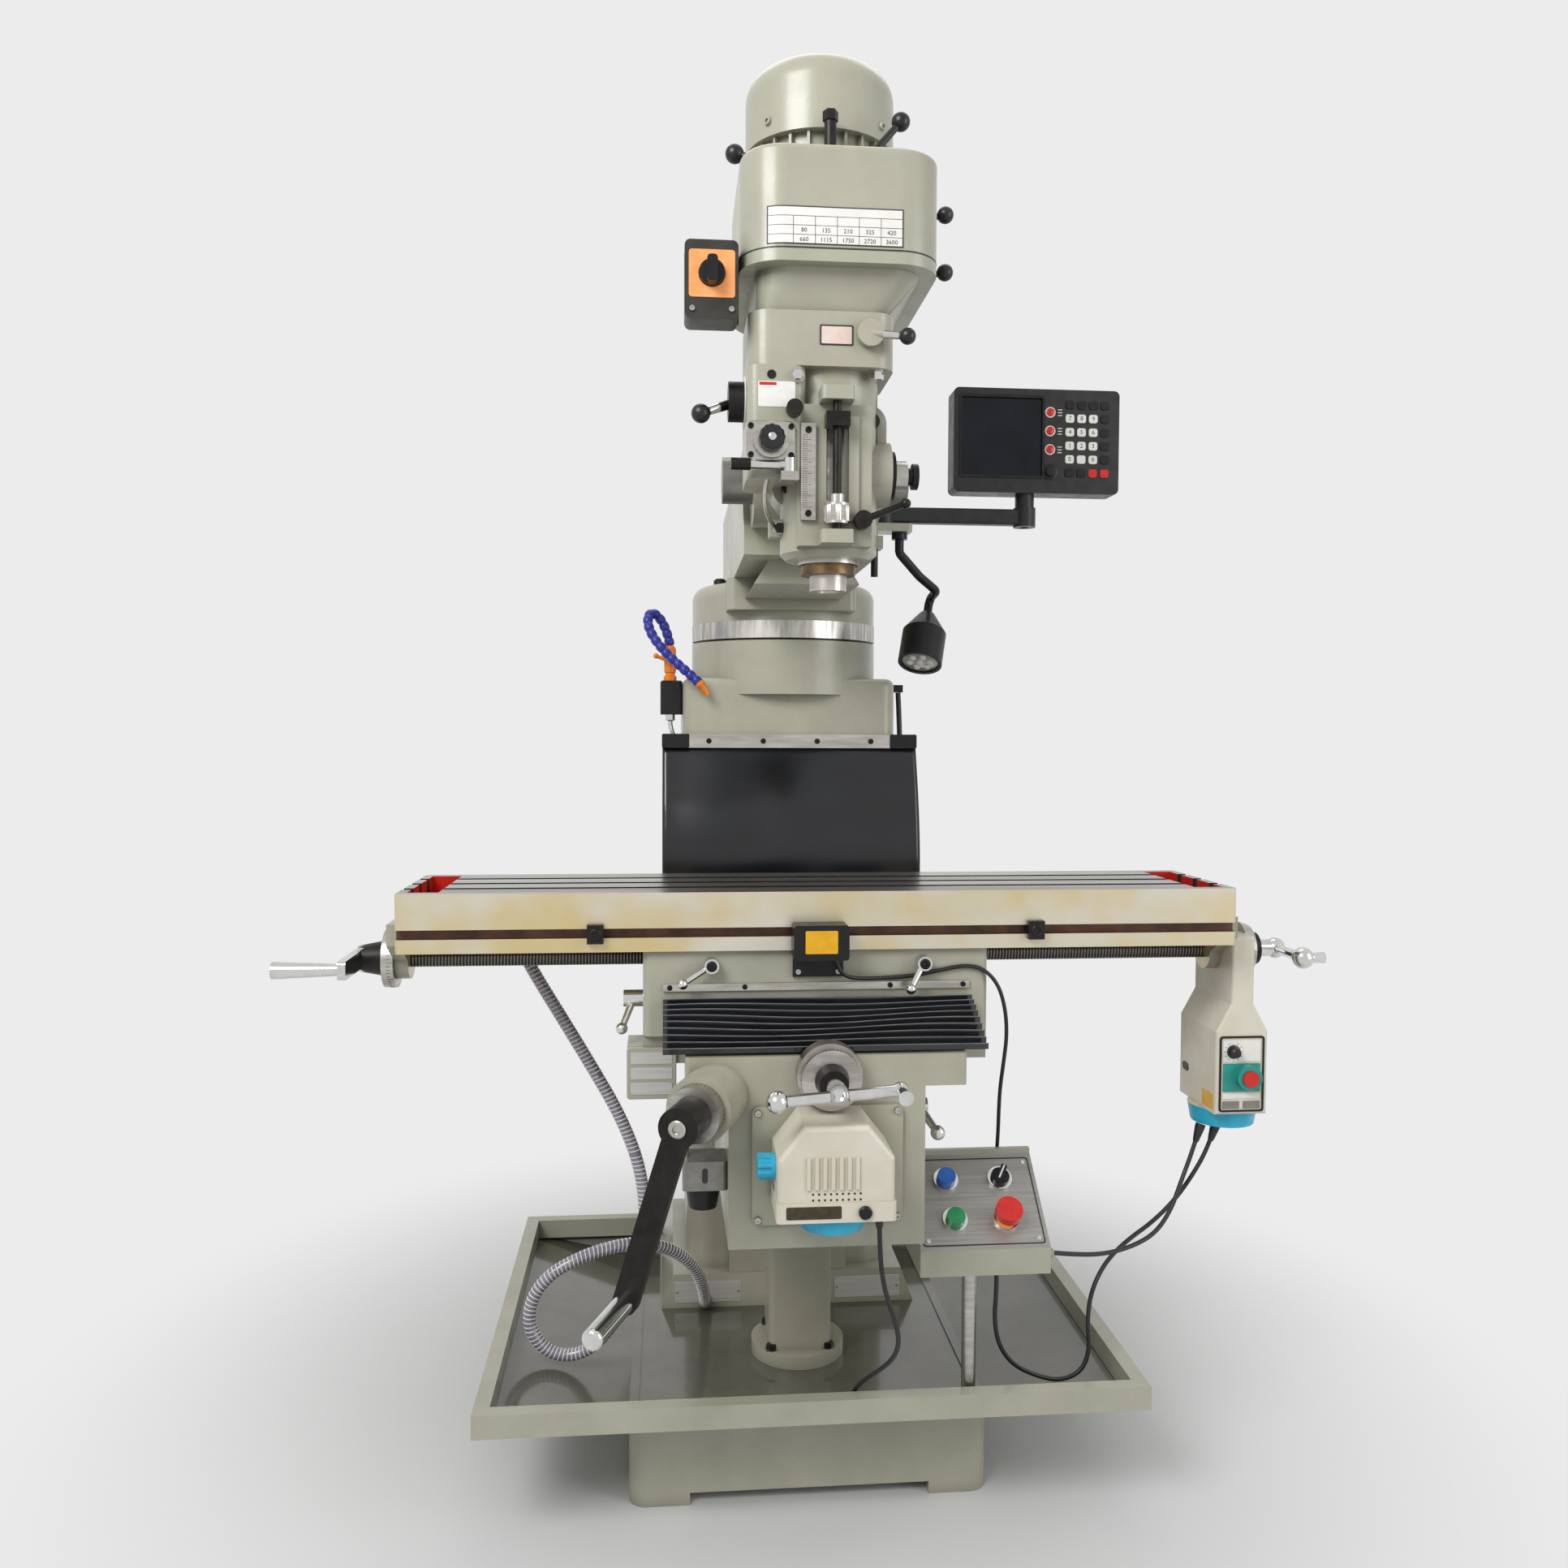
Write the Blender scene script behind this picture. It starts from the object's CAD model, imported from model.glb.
from math import cos, pi, radians, sin

import bmesh
import bpy
import numpy as np
from mathutils import Matrix, Vector


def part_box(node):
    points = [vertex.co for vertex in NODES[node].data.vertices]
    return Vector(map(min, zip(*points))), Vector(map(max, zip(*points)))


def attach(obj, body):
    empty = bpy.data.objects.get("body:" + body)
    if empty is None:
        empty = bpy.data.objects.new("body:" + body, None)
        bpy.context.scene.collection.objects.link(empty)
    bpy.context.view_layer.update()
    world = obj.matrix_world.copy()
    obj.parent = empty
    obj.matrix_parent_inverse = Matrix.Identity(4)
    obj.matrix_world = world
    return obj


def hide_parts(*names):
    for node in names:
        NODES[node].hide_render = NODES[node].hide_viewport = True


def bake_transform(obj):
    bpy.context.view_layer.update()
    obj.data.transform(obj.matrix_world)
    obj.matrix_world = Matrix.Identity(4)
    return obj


# Looks of a turret milling machine, in metres. X runs right, Y runs back and Z runs up.
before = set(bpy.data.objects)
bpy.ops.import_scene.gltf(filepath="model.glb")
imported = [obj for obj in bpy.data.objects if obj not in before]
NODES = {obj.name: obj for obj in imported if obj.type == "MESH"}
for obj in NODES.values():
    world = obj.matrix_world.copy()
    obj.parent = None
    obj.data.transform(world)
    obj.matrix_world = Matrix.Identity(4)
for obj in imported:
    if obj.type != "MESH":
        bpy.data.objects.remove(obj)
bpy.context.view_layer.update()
MM = 0.001
RIGHT, BACK, UP = Vector((1, 0, 0)), Vector((0, 1, 0)), Vector((0, 0, 1))
FRONT = -BACK


# Colours and shader nodes

def linear(code):
    """Linear red, green, blue and alpha of an sRGB hex colour."""
    parts = np.array([int(code[place:place + 2], 16) for place in (1, 3, 5)]) / 255
    shades = np.where(parts <= 0.04045, parts / 12.92, ((parts + 0.055) / 1.055) ** 2.4)
    return (*shades.tolist(), 1.0)


def add(tree, kind, values=None, links=None, **settings):
    """Adds one node: settings are its properties, values its own numbers, links its sources."""
    made = tree.nodes.new("ShaderNode" + kind)
    for key, value in settings.items():
        setattr(made, key, value)
    for key, value in (values or {}).items():
        made.inputs[key].default_value = value
    for key, source in (links or {}).items():
        tree.links.new(source, made.inputs[key])
    return made


def new_material(name, colour, metallic=0.0, roughness=0.4, **values):
    """Principled material with one colour; extra values go to sockets of the same name."""
    material = bpy.data.materials.new(name)
    material.use_nodes = True
    tree, shader = nodes_of(material)
    shader.inputs["Base Color"].default_value = linear(colour)
    shader.inputs["Metallic"].default_value = metallic
    shader.inputs["Roughness"].default_value = roughness
    for key, value in values.items():
        shader.inputs[key.replace("_", " ")].default_value = value
    return material


def nodes_of(material):
    """A material's node tree and its shader."""
    return material.node_tree, material.node_tree.nodes["Principled BSDF"]


def relief(material, height, depth_mm, strength):
    """Bump of a real depth from a pattern's height."""
    tree, shader = nodes_of(material)
    bump = add(tree, "Bump", {"Strength": strength, "Distance": depth_mm * MM}, {"Height": height})
    tree.links.new(bump.outputs["Normal"], shader.inputs["Normal"])


def tint(material, colour, amount):
    """Lays one more colour over the base colour, by the amount that a pattern gives."""
    tree, shader = nodes_of(material)
    source = shader.inputs["Base Color"].links[0].from_socket
    mix = add(tree, "Mix", {7: linear(colour)}, {0: amount, 6: source}, data_type="RGBA")
    tree.links.new(mix.outputs[2], shader.inputs["Base Color"])


def noise_on(material, size_mm, detail, stretch=(1, 1, 1), roughness=0.5):
    """Noise of a real size on the piece. A stretch under 1 draws it out along that axis."""
    tree, _ = nodes_of(material)
    place = add(tree, "TexCoord").outputs["Object"]
    mapping = add(tree, "Mapping", {"Scale": stretch}, {"Vector": place})
    noise = add(tree, "TexNoise", {"Scale": 1 / (size_mm * MM), "Detail": detail, "Roughness": roughness},
                {"Vector": mapping.outputs["Vector"]})
    return noise.outputs["Fac"]


def finish(name, colours, size_mm, rough, metallic=0.0, bump_mm=0.0, stretch=(1, 1, 1), detail=4, **values):
    """Material with a mottle: noise of the given size mixes two colours and two roughness values, and
    can raise a bump."""
    material = new_material(name, colours[0], metallic, rough[0], **values)
    tree, shader = nodes_of(material)
    noise = noise_on(material, size_mm, detail, stretch, 0.6)
    grade = add(tree, "MapRange", {"From Min": 0.35, "From Max": 0.65}, {"Value": noise})
    factor = grade.outputs["Result"]
    mix = add(tree, "Mix", {6: linear(colours[0]), 7: linear(colours[1])}, {0: factor}, data_type="RGBA")
    tree.links.new(mix.outputs[2], shader.inputs["Base Color"])
    spread = add(tree, "MapRange", {"To Min": rough[0], "To Max": rough[1]}, {"Value": factor})
    tree.links.new(spread.outputs["Result"], shader.inputs["Roughness"])
    if bump_mm:
        relief(material, noise, bump_mm, 1.0)
    return material


def corner_grime(material, colour, reach_mm, share):
    """Darkens the base colour where surfaces meet, as oil and dust do in the corners of a casting."""
    tree, _ = nodes_of(material)
    shade = add(tree, "AmbientOcclusion", {"Distance": reach_mm * MM}, samples=6)
    amount = add(tree, "MapRange", {"From Min": 0.35, "From Max": 0.95, "To Min": share, "To Max": 0.0},
                 {"Value": shade.outputs["AO"]})
    tint(material, colour, amount.outputs["Result"])


# Materials, each named for what it is and how its surface was made

def casting_enamel():
    """Sprayed alkyd enamel over filled cast iron: glossy, with a soft orange peel and dull corners. The
    peel is drawn 9 mm wide, coarser than the real one, so that it shows."""
    material = finish("casting_enamel", ("#B1B09E", "#A9A896"), 70, (0.27, 0.36), IOR=1.5, Coat_Weight=0.15,
                      Coat_Roughness=0.15)
    relief(material, noise_on(material, 9, 2), 0.5, 0.4)
    corner_grime(material, "#6B6757", 26, 0.5)
    return material


def tray_enamel():
    """The same enamel on the tray's pan: dark with oil, and with streaky gloss."""
    material = finish("tray_enamel", ("#6F6D61", "#565449"), 220, (0.1, 0.24), detail=6, IOR=1.5,
                      Coat_Weight=0.5, Coat_Roughness=0.05)
    corner_grime(material, "#4A483D", 60, 0.6)
    return material


def ground_table_steel():
    """Ground cast iron under rust-proof oil: grinding lines along the table and amber patches. The lines
    are drawn 1.5 mm wide, coarser than the real ones, so that they show."""
    material = finish("ground_table_steel", ("#DCD7C9", "#D0C8B0"), 150, (0.24, 0.38), 0.55,
                      stretch=(0.5, 1, 1.6))
    relief(material, noise_on(material, 1.5, 3, (0.01, 1, 1)), 0.15, 0.35)
    oil = noise_on(material, 240, 3, roughness=0.7)
    stain = add(material.node_tree, "MapRange", {"From Min": 0.42, "From Max": 0.62, "To Max": 0.85},
                {"Value": oil})
    tint(material, "#D3BE86", stain.outputs["Result"])
    return material


def threaded_steel():
    """Dark lead screw: bands of a 5 mm thread along it, black in their roots."""
    material = new_material("threaded_steel", "#4A4744", metallic=0.8, roughness=0.35)
    tree, shader = nodes_of(material)
    place = add(tree, "TexCoord").outputs["Object"]
    pitch = 5 * MM
    wave = add(tree, "TexWave", {"Scale": pi / 10 / pitch}, {"Vector": place}, bands_direction="X")
    mix = add(tree, "Mix", {6: linear("#161513"), 7: linear("#7A7671")}, {0: wave.outputs["Fac"]},
              data_type="RGBA")
    tree.links.new(mix.outputs[2], shader.inputs["Base Color"])
    relief(material, wave.outputs["Fac"], 1.2, 0.8)
    return material


def cream_lacquer():
    """Cream stoving lacquer with a very fine texture, on the power feeds."""
    material = finish("cream_lacquer", ("#E1DBCB", "#D8D1BF"), 60, (0.32, 0.42), IOR=1.5)
    relief(material, noise_on(material, 2.2, 2), 0.2, 0.3)
    corner_grime(material, "#8F886F", 10, 0.4)
    return material


def moulded(name, colours, size_mm=20, rough=(0.3, 0.42), bump_mm=0.03, **values):
    """Moulded plastic of one hue with a faint mottle and a fine texture."""
    return finish(name, colours, size_mm, rough, bump_mm=bump_mm, IOR=1.49, **values)


def lit_acrylic(name, colours, glow, strength):
    """Translucent coloured acrylic that is lit from inside: it glows a little in its own hue."""
    material = finish(name, colours, 24, (0.25, 0.4), IOR=1.49, Emission_Strength=strength)
    nodes_of(material)[1].inputs["Emission Color"].default_value = linear(glow)
    return material


ENAMEL = casting_enamel()
TRAY = tray_enamel()
TABLE = ground_table_steel()
THREAD = threaded_steel()
CREAM = cream_lacquer()
# Ground top of the table: grey iron under oil, with fine lines along it and dark patches
TABLE_TOP = finish("table_top_steel", ("#9D9A92", "#7B7870"), 120, (0.16, 0.32), 0.8, 0.05, (0.1, 1, 1))
# Turned and ground steel: fine rings, light oil film
STEEL = finish("turned_steel", ("#C4C1BB", "#A8A49D"), 12, (0.24, 0.38), 1.0, 0.06, (0.15, 0.15, 1))
# Scraped turret ring: bright steel with short strokes up and down it
RING = finish("brushed_ring", ("#D2CFC9", "#A5A29C"), 9, (0.26, 0.44), 0.85, 0.05, (1, 1, 0.12))
# Bright chrome plate on turned handles, with faint smears
CHROME = finish("polished_chrome", ("#DADAD8", "#CBCBC9"), 25, (0.07, 0.16), 1.0)
# Blackened steel: deep brown-black with a satin sheen and rubbed patches
OXIDE = finish("black_oxide", ("#1B1918", "#282523"), 26, (0.32, 0.44), 0.6, 0.04)
# Moulded phenolic knobs: near black with a soft gloss
KNOB = finish("black_phenolic", ("#100F0F", "#171616"), 20, (0.28, 0.38), bump_mm=0.03, IOR=1.5)
# Smooth nitrile sheet: blue-black with a broad soft sheen and slow waves
GUARD = finish("guard_rubber", ("#0E0F13", "#16181D"), 110, (0.18, 0.3), bump_mm=6, stretch=(0.6, 1, 1),
               detail=1, IOR=1.52)
# Coated vinyl pleats: black and glossy along the folds
BELLOWS = finish("bellows_vinyl", ("#121214", "#1B1C1F"), 30, (0.2, 0.34), bump_mm=0.3, stretch=(0.2, 1, 1),
                 IOR=1.5, Coat_Weight=0.4)
# Brushed stainless control plate: soft grey, with lines drawn 3 mm wide so that they show
PANEL = finish("brushed_panel", ("#AAA8A4", "#989692"), 3, (0.36, 0.48), 0.7, 0.06, (0.02, 1, 1))
# Anodised aluminium plate, bare: pale, with brushed lines drawn 4 mm wide so that they show
PLATE = finish("plate_aluminium", ("#D8D6D0", "#C6C4BE"), 4, (0.32, 0.44), 0.5, stretch=(0.03, 1, 1))
# Dark display behind a glossy acrylic window
SCREEN = finish("screen_glass", ("#0A0C12", "#141824"), 60, (0.08, 0.2), Specular_IOR_Level=0.25)
# Lit stop collar, and the drum switch's face
AMBER = lit_acrylic("amber_acrylic", ("#F2A24A", "#E8843A"), "#FF9A3C", 0.7)
SWITCH_FACE = lit_acrylic("orange_acrylic", ("#EFA56B", "#E08C4C"), "#F0A060", 0.25)
# Moulded ABS: clear hues with a soft gloss on hoods and buttons, and low gloss on dark cases
CYAN = moulded("cyan_abs", ("#37B7DB", "#2DABD0"))
TEAL = moulded("teal_abs", ("#2C9B90", "#238A80"))
BLACK = moulded("black_abs", ("#151516", "#1B1B1D"), Specular_IOR_Level=0.3)
GREY = moulded("grey_abs", ("#35332F", "#3C3A36"), Specular_IOR_Level=0.3)
CASE_GREY = moulded("readout_abs", ("#2C2C2E", "#343436"), Specular_IOR_Level=0.3)
RED = moulded("red_abs", ("#D8261E", "#CC211A"), rough=(0.2, 0.3))
GREEN = moulded("green_abs", ("#1D9A57", "#188C4E"), rough=(0.2, 0.3))
BLUE = moulded("blue_abs", ("#1F6FD6", "#1B64C4"), rough=(0.2, 0.3))
# Acetal of the coolant hose and its valve: waxy and strong in hue
HOSE_BLUE = moulded("blue_acetal", ("#2A319F", "#232989"), rough=(0.28, 0.4))
ORANGE = moulded("orange_acetal", ("#F28A1E", "#E47F16"), rough=(0.28, 0.4))
# Printed labels and their ink: flat and dull
WHITE = moulded("white_label", ("#F1EFEA", "#E8E6E0"), rough=(0.4, 0.5), bump_mm=0.0)
PINK = moulded("pink_label", ("#EBD6CC", "#E2C8BC"), rough=(0.35, 0.45), bump_mm=0.0)
YELLOW = moulded("yellow_label", ("#F0B41E", "#E5A716"), rough=(0.35, 0.45), bump_mm=0.0)
INK = moulded("printing_ink", ("#232326", "#303033"), rough=(0.45, 0.55), bump_mm=0.0)
BRONZE_LABEL = moulded("bronze_label", ("#3B3422", "#4A4230"), 8, (0.35, 0.45), metallic=0.4)
# Cable jackets, the hose's clear grey wall, and the vinyl's worn edges
CABLE = moulded("cable_pvc", ("#17171A", "#1F1F22"), 15, (0.35, 0.5))
HOSE = moulded("hose_pvc", ("#8D8797", "#7B7488"), 30, (0.14, 0.24), Coat_Weight=0.6)
VINYL_EDGE = moulded("worn_vinyl", ("#77787A", "#5A5B5D"), 40, (0.3, 0.45))
# Brushed red lead in the table's troughs, aged bronze, oiled iron, grey die casting and the lamp's lens
RED_LEAD = moulded("red_lead_paint", ("#C8281B", "#A91F15"), 25, (0.25, 0.4), 0.4)
BRASS = moulded("aged_bronze", ("#7A6448", "#5E4C38"), rough=(0.3, 0.45), metallic=0.9)
GROOVE = moulded("oiled_iron", ("#6A4736", "#51372B"), 40, (0.35, 0.5), metallic=0.3)
DIECAST = moulded("diecast_aluminium", ("#8D8B86", "#807E79"), rough=(0.35, 0.45), metallic=0.6)
LENS = moulded("lamp_acrylic", ("#C9C9C4", "#B4B4AE"), 9, (0.1, 0.2), metallic=0.3)


# Surfaces worked out on a grid. Places and sizes of pieces are in millimetres.

def placed(name, data):
    """New object with its data, put into the scene."""
    made = bpy.data.objects.new(name, data)
    bpy.context.scene.collection.objects.link(made)
    return made


def show(name, points, faces, material, body, sharp_deg=35):
    """Puts points and faces into a mesh: doubles merged, faces outwards, edges sharp past an angle."""
    mesh = bpy.data.meshes.new(name)
    mesh.from_pydata(np.asarray(points).reshape(-1, 3).tolist(), [], faces)
    work = bmesh.new()
    work.from_mesh(mesh)
    bmesh.ops.remove_doubles(work, verts=work.verts, dist=1e-6)
    bmesh.ops.recalc_face_normals(work, faces=work.faces)
    work.to_mesh(mesh)
    work.free()
    mesh.polygons.foreach_set("use_smooth", np.ones(len(mesh.polygons), bool))
    mesh.set_sharp_from_angle(angle=radians(sharp_deg))
    mesh.materials.append(material)
    piece = placed(name, mesh)
    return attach(piece, body) if body else piece


def grid_faces(rows, columns, wrap=True, bore=False):
    """Quads of a grid of points, row by row; wrap joins each row's last point to its first, and bore
    the last row to the first."""
    row, column = np.meshgrid(np.arange(rows if bore else rows - 1),
                              np.arange(columns if wrap else columns - 1), indexing="ij")
    below, after = (row + 1) % rows, (column + 1) % columns
    corners = ((row, column), (row, after), (below, after), (below, column))
    return np.stack([line * columns + place for line, place in corners], -1).reshape(-1, 4)


def stacked(name, loops, material, body, sharp_deg=35, bore=False):
    """Closed loops of points, one above the other, skinned by quads. The end loops are capped, or
    joined to each other where there is a bore. Several such stacks may share one piece."""
    loops = np.asarray(loops, float)
    loops = loops[None] if loops.ndim == 3 else loops
    count, rows, columns = loops.shape[:3]
    start = rows * columns * np.arange(count)
    faces = (grid_faces(rows, columns, True, bore) + start[:, None, None]).reshape(-1, 4).tolist()
    if not bore:
        faces += (np.arange(columns)[::-1] + start[:, None]).tolist()
        faces += (np.arange((rows - 1) * columns, rows * columns) + start[:, None]).tolist()
    return show(name, loops, faces, material, body, sharp_deg)


def basis(axis):
    """Unit vector along an axis and two square to it and to each other, as arrays."""
    axis = Vector(axis).normalized()
    side = axis.cross(UP if abs(axis.z) < 0.9 else BACK).normalized()
    return np.array(axis), np.array(side), np.array(axis.cross(side))


def around(angle, side, across):
    """Directions at angles round an axis: the cosine along one square direction, the sine along the other."""
    return np.cos(angle) * side + np.sin(angle) * across


def eased(radius, edge, top, height):
    """Profile of a disc whose rim slopes in from an edge height to a smaller radius on top."""
    return [(0, 0), (radius, 0), (radius, edge), (top, height), (0, height)]


def lathe(name, places, axis, profile, material, body, steps=36, ripple=0.0, ripples=0, bore=False):
    """Turned piece, or several alike: each (radius, height) of the profile carried round the axis. A
    ripple makes the radius rise and fall as a cosine, for a knurl or flutes."""
    axis, side, across = basis(axis)
    radius, height = np.array(profile, float).T
    angle = np.linspace(0, 2 * pi, steps, endpoint=False)
    wave = 1 + ripple * np.cos(ripples * angle)
    ring = around(angle[:, None], side, across)
    shape = (radius[:, None] * wave)[..., None] * ring + height[:, None, None] * axis
    points = np.atleast_2d(np.asarray(places, float))[:, None, None] + shape
    return stacked(name, points * MM, material, body, bore=bore)


def rounded_loop(width, height, radius, steps=6):
    """Rectangle with round corners, as points in two directions: four quarter circles."""
    angle = np.linspace(0, pi / 2, steps) + np.arange(4)[:, None] * pi / 2
    x, y = np.array([(1, 1), (-1, 1), (-1, -1), (1, -1)]).T[..., None]
    return np.stack((x * (width / 2 - radius) + radius * np.cos(angle),
                     y * (height / 2 - radius) + radius * np.sin(angle)), -1).reshape(-1, 2)


def plate(name, centres, size, thick, material, body, corner=2.0, edge=0.4, hole=None, out=FRONT, up=UP):
    """Flat plates on a surface: a rounded rectangle carried outwards, with its front edge eased. A
    hole is another rounded rectangle, as its width, height and corner."""
    out, up = Vector(out).normalized(), Vector(up).normalized()
    right = np.array(up.cross(out))
    up, out = np.array(up), np.array(out)
    rows = [(rounded_loop(size[0] - 2 * inset, size[1] - 2 * inset, max(corner - inset, 0.05)), rise)
            for inset, rise in ((0, 0), (0, thick - edge), (edge, thick))]
    if hole:
        rows += [(rounded_loop(*hole), thick), (rounded_loop(*hole), 0)]
    loops = np.stack([flat[:, :1] * right + flat[:, 1:] * up + rise * out for flat, rise in rows])
    points = np.atleast_2d(np.asarray(centres, float))[:, None, None] + loops
    return stacked(name, points * MM, material, body, bore=bool(hole))


def screws(name, places, radius, material, body, rise=3.0, axis=FRONT):
    """Socket head screws: turned heads with an eased rim and a hollow in the face."""
    profile = [(0, 0), (radius, 0), (radius, rise * 0.7), (radius * 0.86, rise), (radius * 0.5, rise),
               (radius * 0.45, rise * 0.35), (0, rise * 0.35)]
    return lathe(name, places, axis, profile, material, body, steps=20)


def hex_bolts(name, places, axis, across, rise, material, body):
    """Hexagon bolt heads, each on a round washer: six flats with eased corners on top."""
    radius, seat = across / 2 / cos(pi / 6), 1.6
    washer = [(0, 0), (radius * 1.2, 0), (radius * 1.2, seat), (0, seat)]
    lathe(name + "_washers", places, axis, washer, STEEL, body, steps=28)
    profile = [(0, seat), (radius, seat), (radius, rise * 0.86), (radius * 0.85, rise), (0, rise)]
    return lathe(name, places, axis, profile, material, body, steps=6)


def strokes(name, middles, along, across, sizes, material, body):
    """Short raised bars: a box on each middle, with its length and width along two directions and its
    rise along their cross product."""
    middles = np.atleast_2d(np.asarray(middles, float))
    along, across = (np.broadcast_to(np.asarray(way, float), middles.shape) for way in (along, across))
    length, width, rise = (np.broadcast_to(size, len(middles))[:, None, None] for size in sizes)
    square = np.array([(-1, -1), (1, -1), (1, 1), (-1, 1)]) / 2
    flat = length * square[:, :1] * along[:, None] + width * square[:, 1:] * across[:, None]
    out = np.cross(along, across)[:, None] * rise
    points = middles[:, None, None] + np.stack((flat, flat + out), 1)
    return stacked(name, points * MM, material, body)


def dial_marks(name, centre, axis, radius, count, reach, body):
    """Graduations round a dial's rim: bars along the axis, evenly spaced, with every fifth longer."""
    axis, side, across = basis(axis)
    angle = 2 * pi * np.arange(count)[:, None] / count
    length = np.where(np.arange(count) % 5 == 0, reach, 0.55 * reach)
    middles = np.array(centre) + radius * around(angle, side, across)
    tangent = np.sin(angle) * side - np.cos(angle) * across
    return strokes(name, middles + axis * length[:, None] / 2, axis, tangent, (length, 0.7, 0.2), INK, body)


def drawn(name, curve):
    """Mesh that Blender draws for a curve, and its points as an array. The curve itself is dropped."""
    holder = bpy.data.objects.new(name, curve)
    mesh = bpy.data.meshes.new_from_object(holder)
    points = np.empty(3 * len(mesh.vertices))
    mesh.vertices.foreach_get("co", points)
    bpy.data.objects.remove(holder)
    bpy.data.curves.remove(curve)
    return mesh, points.reshape(-1, 3)


def numbers(name, marks, place, material, body):
    """Plain numbers: each (text, u, v, size) is outlined, filled and raised a little, and its points go
    where place(u, v, w) puts them."""
    points, faces, start, rise = [], [], 0, 0.2
    for text, u, v, size in marks:
        curve = bpy.data.curves.new(name, "FONT")
        curve.body, curve.size, curve.extrude, curve.resolution_u = text, size, rise / 2, 2
        curve.align_x, curve.align_y = "CENTER", "CENTER"
        mesh, flat = drawn(name, curve)
        points.append(place(*(flat + (u, v, rise / 2)).T))
        order = np.empty(len(mesh.loops), np.int32)
        mesh.loops.foreach_get("vertex_index", order)
        sizes = np.empty(len(mesh.polygons), np.int32)
        mesh.polygons.foreach_get("loop_total", sizes)
        faces += [face.tolist() for face in np.split(order + start, np.cumsum(sizes)[:-1])]
        start += len(mesh.vertices)
        bpy.data.meshes.remove(mesh)
    return show(name, np.concatenate(points) * MM, faces, material, body)


def unit(vectors):
    """Rows of vectors, each divided by its length."""
    return vectors / np.linalg.norm(vectors, axis=1, keepdims=True)


def square_to(run, lean):
    """Two directions square to a run and to each other, by cross products: the first is also square to
    the lean."""
    side = unit(np.cross(run, lean))
    return side, np.cross(side, run)


def tube_along(name, path, radius, material, body, steps=14):
    """Round tube along a path in metres: a circle carried along it, square to its run. The radius may
    change along the path."""
    path = np.asarray(path, float)
    run = unit(np.gradient(path, axis=0))
    side, rise = square_to(run, (0.31, 0.17, 0.93) if abs(run[:, 2]).max() < 0.95 else (0.93, 0.31, 0.17))
    angle = np.linspace(0, 2 * pi, steps, endpoint=False)
    girth = np.broadcast_to(np.asarray(radius, float), (len(path),))[:, None, None]
    circle = around(angle[:, None], side[:, None], rise[:, None])
    return stacked(name, path[:, None] + girth * circle, material, body, 50)


def bent_rod(name, start, corner, end, radius, material, body):
    """Bent rod or pipe between two places: a curve of the second degree that a corner pulls."""
    share = np.linspace(0, 1, 24)[:, None]
    start, corner, end = (np.array(place, float) for place in (start, corner, end))
    path = (1 - share) ** 2 * start + 2 * share * (1 - share) * corner + share ** 2 * end
    return tube_along(name, path * MM, radius * MM, material, body, steps=12)


# Finishes of the modelled parts

def dress(node, *layers):
    """Gives a part its materials: the first covers it, and each later (material, rule) pair takes the
    faces whose middles the rule picks."""
    mesh = NODES[node].data
    mesh.materials.clear()
    middles = np.empty(3 * len(mesh.polygons))
    mesh.polygons.foreach_get("center", middles)
    x, y, z = middles.reshape(-1, 3).T / MM
    index = np.zeros(len(mesh.polygons), np.int32)
    mesh.materials.append(layers[0])
    for number, (material, rule) in enumerate(layers[1:], 1):
        mesh.materials.append(material)
        index[rule(x, y, z)] = number
    mesh.polygons.foreach_set("material_index", index)


def near(centre, radius):
    """Rule for the faces within a radius of a point."""
    return lambda *middle: sum((part - at) ** 2 for part, at in zip(middle, centre)) < radius ** 2


def between(x=None, y=None, z=None):
    """Rule for the faces between a low and a high value on each axis that has them."""
    def rule(*middle):
        inside = np.ones(len(middle[0]), bool)
        for part, limits in zip(middle, (x, y, z)):
            if limits:
                inside &= (part > limits[0]) & (part < limits[1])
        return inside
    return rule


CRANK_TURN, CRANK_SEAT = radians(20), np.array((-160, -590, 705))
CRANK_AXIS = (-sin(CRANK_TURN), -cos(CRANK_TURN), 0)
DESK_EDGE_Y, DESK_EDGE_Z = -410, 552
DESK_OUT, DESK_UP = (0, -0.6513, 0.7588), (0, 0.7588, 0.6513)
PLAIN_PARTS = (
    (ENAMEL, ("knee", "gear_housing", "belt_housing", "motor", "ram")),
    (CHROME, ("knee_lock", "saddle_lock", "table_lock_left", "table_lock_right")),
    (KNOB, ("brake_lever", "clutch_lever", "motor_lock_upper", "motor_lock_lower")),
    (BLACK, ("limit_switch", "switch_handle", "selector", "work_lamp")),
    (STEEL, ("elevating_screw", "depth_nut")), (GREY, ("drum_switch",)), (BLUE, ("jog_button",)),
    (GREEN, ("start_button",)), (RED, ("table_feed_button",)), (CYAN, ("cross_feed_knob",)),
    (CASE_GREY, ("dro_arm",)), (OXIDE, ("quill_lock",)), (ORANGE, ("coolant_tap",)))


def along_crank(x, y, z):
    """Distance out along the knee crank's axis, from the knee's front."""
    return CRANK_AXIS[0] * (x - CRANK_SEAT[0]) + CRANK_AXIS[1] * (y - CRANK_SEAT[1])


def over_desk(x, y, z):
    """Height over the control desk's sloping face."""
    return DESK_OUT[1] * (y - DESK_EDGE_Y) + DESK_OUT[2] * (z - DESK_EDGE_Z)


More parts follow.
